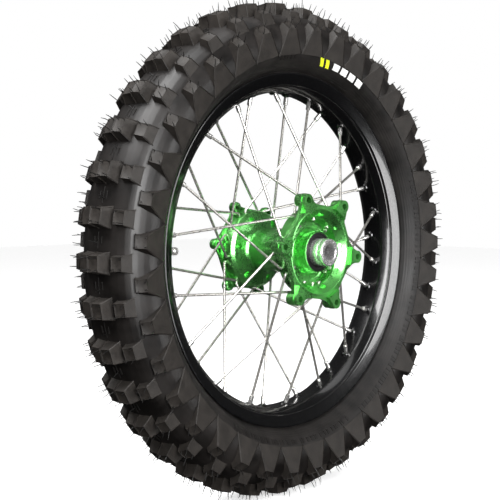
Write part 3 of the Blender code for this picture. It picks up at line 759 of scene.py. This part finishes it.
def lug_pads(side):
    """Return the raised pads of one hub side's lugs."""
    sign = side["sign"]
    mesh = bmesh.new()
    for lug in range(LUGS):
        angle = side["lug_angle"] + 360.0 * lug / LUGS
        centre = at(side["lug_circle"], angle, sign * side["back"])
        width = side["lug"] - 0.0006
        corners = [
            mesh.verts.new(centre + at(width, angle + 18.0 * arc, 0.0)) for arc in range(-6, 7)]
        inner = side["inradius"] + 0.0005
        for turn in (11.0, -11.0):
            corners.append(mesh.verts.new(at(inner, angle + turn, sign * side["back"])))
        pad = mesh.faces.new(corners)
        grown = bmesh.ops.extrude_face_region(mesh, geom=[pad])["geom"]
        moved = [item for item in grown if isinstance(item, bmesh.types.BMVert)]
        bmesh.ops.translate(mesh, verts=moved, vec=(0, sign * (side["face"] - side["back"]), 0))
    return mesh


def lug_bosses(side):
    """Return the round bosses behind one hub side's lugs."""
    mesh = bmesh.new()
    depth = side["front"] - side["boss_end"]
    for lug in range(LUGS):
        angle = side["lug_angle"] + 360.0 * lug / LUGS
        place = at(side["lug_circle"], angle, side["sign"] * (side["front"] - depth / 2))
        add_pin(mesh, place, side["lug"] - 0.0006, depth, (0, 1, 0), 32, 0.0004)
    return mesh


def bolt_holes(side):
    """Return the tool that cuts one hub side's bolt holes."""
    mesh = bmesh.new()
    for lug in range(LUGS):
        angle = side["lug_angle"] + 360.0 * lug / LUGS
        place = at(side["lug_circle"], angle, side["sign"] * BOLT_TOOL_Y)
        add_pin(mesh, place, side["bolt"], BOLT_TOOL_DEPTH, (0, 1, 0), 24)
    return mesh


def head_recesses():
    """Return the tool that cuts the long recesses over the spoke heads in both dished faces.

    It also cuts the round pockets behind the brake side's lugs.
    """
    mesh = bmesh.new()
    for side in SIDES.values():
        radius, y, lean = side["recess"]
        for pair in range(PAIRS):
            angle = side["pair"] + 20.0 + 360.0 * pair / PAIRS
            place = at(radius, angle, side["sign"] * y)
            outward = at(1.0, angle, 0.0)
            facing = Vector((0, side["sign"] * math.cos(lean), 0)) - outward * math.sin(lean)
            across = Vector((0, 1, 0)).cross(outward)
            for vert in add_pin(mesh, place, RECESS_RADIUS, RECESS_DEPTH, facing, 16):
                vert.co += across * math.copysign(RECESS_STRETCH, (vert.co - place).dot(across))
    brake = SIDES["brake_side"]
    for lug in range(LUGS):
        angle = brake["lug_angle"] + 360.0 * lug / LUGS
        place = at(POCKET_CIRCLE, angle, POCKET_Y)
        add_pin(mesh, place, POCKET_RADIUS, POCKET_DEPTH, (0, 1, 0), 24)
    return mesh


def hub_outline():
    """Return the closed (y, radius) outline of the hub's turned body."""
    return [
        (-0.0726, SEAL_HIGH.x + 0.0004), (-0.0726, 0.0276), (-0.0700, 0.0279), (-0.0560, 0.0286),
        (-0.0525, 0.0300), (-0.0508, 0.0330), (-0.0504, 0.0400), (-0.0520, 0.0440),
        (-0.0560, 0.0455), (-0.0650, 0.0462), (-0.0735, 0.0556), (-0.0752, 0.0574),
        (-0.0748, 0.0590), (-0.0500, 0.0590), (-0.0470, 0.0560), (-0.0430, 0.0400),
        (-0.0370, 0.0312), (-0.0330, 0.0300), (0.0270, 0.0300), (0.0274, 0.0286), (0.0286, 0.0286),
        (0.0290, 0.0300), (0.0320, 0.0330), (0.0370, 0.0490), (0.0410, 0.0540), (0.0610, 0.0540),
        (0.0630, 0.0525), (0.0560, 0.0405), (0.0440, 0.0395), (0.0430, 0.0320),
        (0.0470, 0.0290), (0.0620, 0.0276), (0.0620, 0.0262), (0.0540, 0.0260),
        (0.0400, 0.0254), (0.0392, 0.0215), (-0.0477, 0.0215), (-0.0480, 0.0254),
        (-0.0650, 0.0260),
    ]


def build_hub_pieces(settings):
    green = green_anodised(settings.colour)
    body = cut(turned(hub_outline(), 96, 0.0004, 2), head_recesses())
    finish_piece("hub_turned_body", body, [green], "wheel", ["hub"])
    for name, side in SIDES.items():
        plate = cut(star_plate(side), bolt_holes(side))
        finish_piece(f"hub_star_{name}", plate, [green], "wheel", ["hub"])
        pads = cut(lug_pads(side), bolt_holes(side))
        finish_piece(f"hub_lugs_{name}", pads, [green], "wheel", ["hub"])
        bosses = cut(lug_bosses(side), bolt_holes(side))
        finish_piece(f"hub_bosses_{name}", bosses, [green], "wheel", ["hub"])


def build_axle_pieces(settings):
    silver = plain_metal("turned_aluminium", settings.collar_colour, 0.24, 700.0, 0.12)
    black = plain_rubber("seal_rubber", (0.004, 0.004, 0.004), 0.42)
    for name, side in SIDES.items():
        sign = side["sign"]
        low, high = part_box(f"collar_{name}")
        end = low.y if sign < 0 else high.y
        start = high.y if sign < 0 else low.y
        back = start + sign * 0.0030
        wide = high.x
        outline = [
            (start, 0.0111), (start, 0.0150), (back, 0.0150), (back, wide),
            (end - sign * 0.0092, wide), (end - sign * 0.0088, wide - 0.0007),
            (end - sign * 0.0080, wide - 0.0007), (end - sign * 0.0076, wide - 0.0002),
            (end - sign * 0.0010, wide - 0.0002), (end, wide - 0.0012), (end, 0.0120),
            (end - sign * 0.0008, 0.0111),
        ]
        pits = bmesh.new()
        for pit in range(PITS):
            place = at(PIT_CIRCLE, 360.0 * pit / PITS, end)
            add_pin(pits, place, PIT_RADIUS, PIT_DEPTH, (0, 1, 0), 12)
        mesh = cut(turned(outline, 72, 0.0002), pits)
        finish_piece(f"collar_turned_{name}", mesh, [silver], "axle_core",
                     [f"collar_{name}"])
        low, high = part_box(f"oil_seal_{name}")
        inner = high.y if sign < 0 else low.y
        outer = low.y if sign < 0 else high.y
        lip = wide + 0.0003
        outline = [
            (inner, high.x), (inner, lip + 0.0020), (outer - sign * 0.0020, lip),
            (outer - sign * 0.0010, lip), (outer - sign * 0.0004, lip + 0.0012),
            (outer - sign * 0.0012, lip + 0.0022), (outer - sign * 0.0012, high.x - 0.0022),
            (outer, high.x - 0.0014), (outer, high.x),
        ]
        mesh = turned(outline, 72, 0.0002)
        finish_piece(f"seal_moulded_{name}", mesh, [black], "wheel",
                     [f"oil_seal_{name}"])


def dress_frame_nodes():
    """Give the parts of the frame that stay as they are their own finishes."""
    steel = plain_metal("ground_steel", (0.60, 0.60, 0.62), 0.2)
    cage = plain_metal("pressed_cage", (0.50, 0.45, 0.38), 0.3)
    spring = plain_metal("black_spring", (0.10, 0.10, 0.11), 0.4)
    tube = plain_metal("drawn_tube", (0.25, 0.25, 0.25), 0.45)
    butyl = plain_rubber("butyl_rubber", (0.02, 0.02, 0.02), 0.55)
    band = plain_rubber("band_rubber", (0.10, 0.10, 0.11), 0.7)
    dressed = {"inner_tube": butyl, "rim_tape": band, "distance_tube": tube, "circlip": spring}
    for side in SIDES:
        dressed[f"bearing_inner_ring_{side}"] = steel
        dressed[f"bearing_outer_ring_{side}"] = steel
        dressed[f"bearing_balls_{side}"] = cage
    for node, finish in dressed.items():
        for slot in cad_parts[node].material_slots:
            slot.material = finish.material


# ---------------------------------------------------------------- stage


def add_softbox(name, place, aim, width, height, power, colour=(1.0, 1.0, 1.0)):
    lamp = bpy.data.lights.new(name, "AREA")
    lamp.shape = "RECTANGLE"
    lamp.size = width
    lamp.size_y = height
    lamp.energy = power
    lamp.color = colour
    box = bpy.data.objects.new(name, lamp)
    bpy.context.scene.collection.objects.link(box)
    place = Vector(place)
    box.matrix_world = Matrix.Translation(place) @ (
        (Vector(aim) - place).to_track_quat("-Z", "Y").to_matrix().to_4x4())


def build_stage(settings):
    azimuth = math.radians(CAMERA_AZIMUTH)
    elevation = math.radians(CAMERA_ELEVATION)
    back = Vector((
        math.sin(azimuth) * math.cos(elevation), -math.cos(azimuth) * math.cos(elevation),
        math.sin(elevation)))
    right = Vector((math.cos(azimuth), math.sin(azimuth), 0.0))
    up = back.cross(right)
    place = back * CAMERA_DISTANCE - right * CAMERA_LEFT
    data = bpy.data.cameras.new("wheel_camera")
    data.lens = CAMERA_LENS
    camera = bpy.data.objects.new("wheel_camera", data)
    bpy.context.scene.collection.objects.link(camera)
    turn = Matrix((right, up, back)).transposed().to_4x4()
    camera.matrix_world = Matrix.Translation(place) @ turn
    bpy.context.scene.camera = camera
    bpy.context.scene.view_settings.view_transform = "Standard"

    mesh = bmesh.new()
    bmesh.ops.create_grid(mesh, x_segments=1, y_segments=1, size=6.0,
                          matrix=Matrix.Translation((0, 0, CAD_LOW.z - 0.004)))
    data = bpy.data.meshes.new("studio_floor")
    mesh.to_mesh(data)
    mesh.free()
    finish = Finish("pale_floor", settings.floor_colour, 0.9)
    finish.shader.inputs["Emission Color"].default_value = (1.0, 1.0, 1.0, 1.0)
    finish.shader.inputs["Emission Strength"].default_value = settings.floor_glow
    cloud = finish.noise(1.2, 2.0)
    shade = finish.mix(cloud, scaled(settings.floor_colour, 0.98), settings.floor_colour)
    finish.feed(base_color=shade)
    data.materials.append(finish.material)
    floor = bpy.data.objects.new("studio_floor", data)
    bpy.context.scene.collection.objects.link(floor)
    floor.visible_diffuse = False
    floor.visible_glossy = False

    world = bpy.data.worlds.new("studio")
    world.use_nodes = True
    nodes = world.node_tree.nodes
    links = world.node_tree.links
    place = nodes.new("ShaderNodeTexCoord")
    parts = nodes.new("ShaderNodeSeparateXYZ")
    lift = nodes.new("ShaderNodeMapRange")
    lift.inputs["From Min"].default_value = -0.3
    lift.inputs["From Max"].default_value = 0.6
    lift.inputs["To Min"].default_value = settings.fill * 0.15
    lift.inputs["To Max"].default_value = settings.fill
    rays = nodes.new("ShaderNodeLightPath")
    seen = nodes.new("ShaderNodeMapRange")
    seen.inputs["To Max"].default_value = settings.surround
    background = nodes["Background"]
    background.inputs["Color"].default_value = (1.0, 1.0, 1.0, 1.0)
    links.new(place.outputs["Generated"], parts.inputs[0])
    links.new(parts.outputs["Z"], lift.inputs["Value"])
    links.new(lift.outputs[0], seen.inputs["To Min"])
    links.new(rays.outputs["Is Camera Ray"], seen.inputs["Value"])
    links.new(seen.outputs[0], background.inputs["Strength"])
    bpy.context.scene.world = world
    light = settings.light
    add_softbox("top_softbox", (-1.1, 0.3, 1.8), (0, 0, 0), 1.7, 1.5, 75 * light)
    add_softbox("tall_softbox", (-1.2, -1.8, 0.45), (0, 0, 0), 0.9, 1.9, 90 * light)
    add_softbox("side_softbox", (0.75, -2.05, 0.1), (0, 0, 0), 0.5, 1.6, 28 * light)
    lamp = bpy.data.lights.new("sky_light", "SUN")
    lamp.energy = 1.1 * light
    lamp.angle = math.radians(50.0)
    bpy.context.scene.collection.objects.link(bpy.data.objects.new("sky_light", lamp))


# ---------------------------------------------------------------- sizes and colours


class TyreSettings(bpy.types.PropertyGroup):
    """Sizes and colours of the tyre."""

    repeats: IntProperty(name="Tread repeats",
                         description="How often the tread repeats round the tyre",
                         default=37, min=12, max=60)
    hair_length: FloatProperty(name="Vent hair length", description="Longest vent hair on a knob",
                               default=0.0130, min=0.001, max=0.015, unit="LENGTH")
    colour: FloatVectorProperty(name="Casing colour", description="Colour of the casing's rubber",
                                default=(0.0045, 0.0039, 0.0036), min=0.0, max=1.0,
                                subtype="COLOR")
    knob_colour: FloatVectorProperty(name="Knob colour", description="Colour of the tread knobs",
                                     default=(0.0130, 0.0112, 0.0098), min=0.0, max=1.0,
                                     subtype="COLOR")
    mark_colour: FloatVectorProperty(name="Mark colour",
                                     description="Colour of the sidewall's yellow bars",
                                     default=(0.62, 0.80, 0.02), min=0.0, max=1.0,
                                     subtype="COLOR")


class RimSettings(bpy.types.PropertyGroup):
    """Colour of the rim."""

    colour: FloatVectorProperty(name="Rim colour", description="Colour of the rim's coating",
                                subtype="COLOR", default=(0.003, 0.003, 0.0033), min=0.0, max=1.0)


class SpokeSettings(bpy.types.PropertyGroup):
    """Sizes and colours of the spokes, their nipples and the valve."""

    wire_diameter: FloatProperty(name="Wire diameter", description="Diameter of a spoke's wire",
                                 default=0.0035, min=0.002, max=0.005, unit="LENGTH")
    wire_colour: FloatVectorProperty(name="Wire colour", description="Colour of the spokes' steel",
                                     subtype="COLOR", default=(0.66, 0.64, 0.60), min=0.0, max=1.0)
    nipple_colour: FloatVectorProperty(name="Nipple colour",
                                       description="Colour of the plated nipples and the valve",
                                       default=(0.80, 0.79, 0.77), min=0.0, max=1.0,
                                       subtype="COLOR")


class HubSettings(bpy.types.PropertyGroup):
    """Colours of the hub and its collars."""

    colour: FloatVectorProperty(name="Hub colour", description="Colour of the anodised hub",
                                subtype="COLOR", default=(0.17, 0.62, 0.15), min=0.0, max=1.0)
    collar_colour: FloatVectorProperty(name="Collar colour",
                                       description="Colour of the turned collars",
                                       default=(0.82, 0.82, 0.81), min=0.0, max=1.0,
                                       subtype="COLOR")


class StageSettings(bpy.types.PropertyGroup):
    """Floor and light."""

    floor_colour: FloatVectorProperty(name="Floor colour", description="Colour of the studio floor",
                                      subtype="COLOR", default=(0.90, 0.90, 0.90), min=0.0, max=1.0)
    floor_glow: FloatProperty(name="Floor glow", description="Light the floor gives off by itself",
                              default=0.55, min=0.0, max=2.0)
    surround: FloatProperty(name="Surround", description="Brightness of the surround as it is seen",
                            default=1.0, min=0.0, max=4.0)
    fill: FloatProperty(name="Fill", description="Brightness of the surround as a light",
                        default=0.09, min=0.0, max=4.0)
    light: FloatProperty(name="Light", description="Strength of the softboxes",
                         default=1.0, min=0.0, max=10.0)


# ---------------------------------------------------------------- operators


class WHEEL_OT_stage(bpy.types.Operator):
    """Set up the camera, the pale floor and the softboxes"""

    bl_idname = "wheel.stage"
    bl_label = "Stage"

    def execute(self, context):
        build_stage(context.scene.wheel_stage)
        return {"FINISHED"}


class WHEEL_OT_casing(bpy.types.Operator):
    """Build the tyre's casing"""

    bl_idname = "wheel.casing"
    bl_label = "Tyre casing"

    def execute(self, context):
        build_casing(context.scene.wheel_tyre)
        return {"FINISHED"}


class WHEEL_OT_knobs(bpy.types.Operator):
    """Build the tread's centre, middle and shoulder knobs"""

    bl_idname = "wheel.knobs"
    bl_label = "Tread knobs"

    def execute(self, context):
        build_knobs(context.scene.wheel_tyre)
        return {"FINISHED"}


class WHEEL_OT_tread_details(bpy.types.Operator):
    """Build the vent hairs and the crown's ribs"""

    bl_idname = "wheel.tread_details"
    bl_label = "Tread details"

    def execute(self, context):
        build_tread_details(context.scene.wheel_tyre)
        return {"FINISHED"}


class WHEEL_OT_sidewall_marks(bpy.types.Operator):
    """Build the raised and painted bars of the sidewalls"""

    bl_idname = "wheel.sidewall_marks"
    bl_label = "Sidewall marks"

    def execute(self, context):
        build_sidewall_marks(context.scene.wheel_tyre)
        return {"FINISHED"}


class WHEEL_OT_rim(bpy.types.Operator):
    """Build the rim and its nipple seats"""

    bl_idname = "wheel.rim"
    bl_label = "Rim"

    def execute(self, context):
        build_rim_pieces(context.scene.wheel_rim)
        return {"FINISHED"}


class WHEEL_OT_spokes(bpy.types.Operator):
    """Build the spokes with their nipples"""

    bl_idname = "wheel.spokes"
    bl_label = "Spokes"

    def execute(self, context):
        build_spoke_pieces(context.scene.wheel_spokes)
        return {"FINISHED"}


class WHEEL_OT_valve(bpy.types.Operator):
    """Build the valve's stem, nut and cap"""

    bl_idname = "wheel.valve"
    bl_label = "Valve"

    def execute(self, context):
        build_valve_pieces(context.scene.wheel_spokes)
        return {"FINISHED"}


class WHEEL_OT_hub(bpy.types.Operator):
    """Build the hub's body, bolting plates and lugs"""

    bl_idname = "wheel.hub"
    bl_label = "Hub"

    def execute(self, context):
        build_hub_pieces(context.scene.wheel_hub)
        return {"FINISHED"}


class WHEEL_OT_axle_pieces(bpy.types.Operator):
    """Build the collars and oil seals"""

    bl_idname = "wheel.axle_pieces"
    bl_label = "Collars and seals"

    def execute(self, context):
        build_axle_pieces(context.scene.wheel_hub)
        return {"FINISHED"}


class WHEEL_OT_inner_parts(bpy.types.Operator):
    """Give the bearings, tubes, band and clip their finishes"""

    bl_idname = "wheel.inner_parts"
    bl_label = "Inner parts"

    def execute(self, context):
        dress_frame_nodes()
        return {"FINISHED"}


STEPS = (
    WHEEL_OT_stage, WHEEL_OT_casing, WHEEL_OT_knobs, WHEEL_OT_tread_details,
    WHEEL_OT_sidewall_marks, WHEEL_OT_rim, WHEEL_OT_spokes, WHEEL_OT_valve, WHEEL_OT_hub,
    WHEEL_OT_axle_pieces, WHEEL_OT_inner_parts,
)
GROUPS = {
    "wheel_tyre": TyreSettings, "wheel_rim": RimSettings, "wheel_spokes": SpokeSettings,
    "wheel_hub": HubSettings, "wheel_stage": StageSettings,
}


class WHEEL_PT_sidebar(bpy.types.Panel):
    """Lists the wheel's sizes, colours and pieces"""

    bl_idname = "WHEEL_PT_sidebar"
    bl_label = "Spoked Wheel"
    bl_space_type = "VIEW_3D"
    bl_region_type = "UI"
    bl_category = "Wheel"

    def draw(self, context):
        for name in GROUPS:
            group = getattr(context.scene, name)
            box = self.layout.box()
            for setting in group.__annotations__:
                box.prop(group, setting)
        for step in STEPS:
            self.layout.operator(step.bl_idname)


CLASSES = (*GROUPS.values(), *STEPS, WHEEL_PT_sidebar)


def register():
    for kind in CLASSES:
        bpy.utils.register_class(kind)
    for name, kind in GROUPS.items():
        setattr(bpy.types.Scene, name, PointerProperty(type=kind))


def unregister():
    for name in GROUPS:
        delattr(bpy.types.Scene, name)
    for kind in reversed(CLASSES):
        bpy.utils.unregister_class(kind)


def main():
    register()
    for step in STEPS:
        group, name = step.bl_idname.split(".")
        getattr(getattr(bpy.ops, group), name)()


if __name__ == "__main__":
    main()
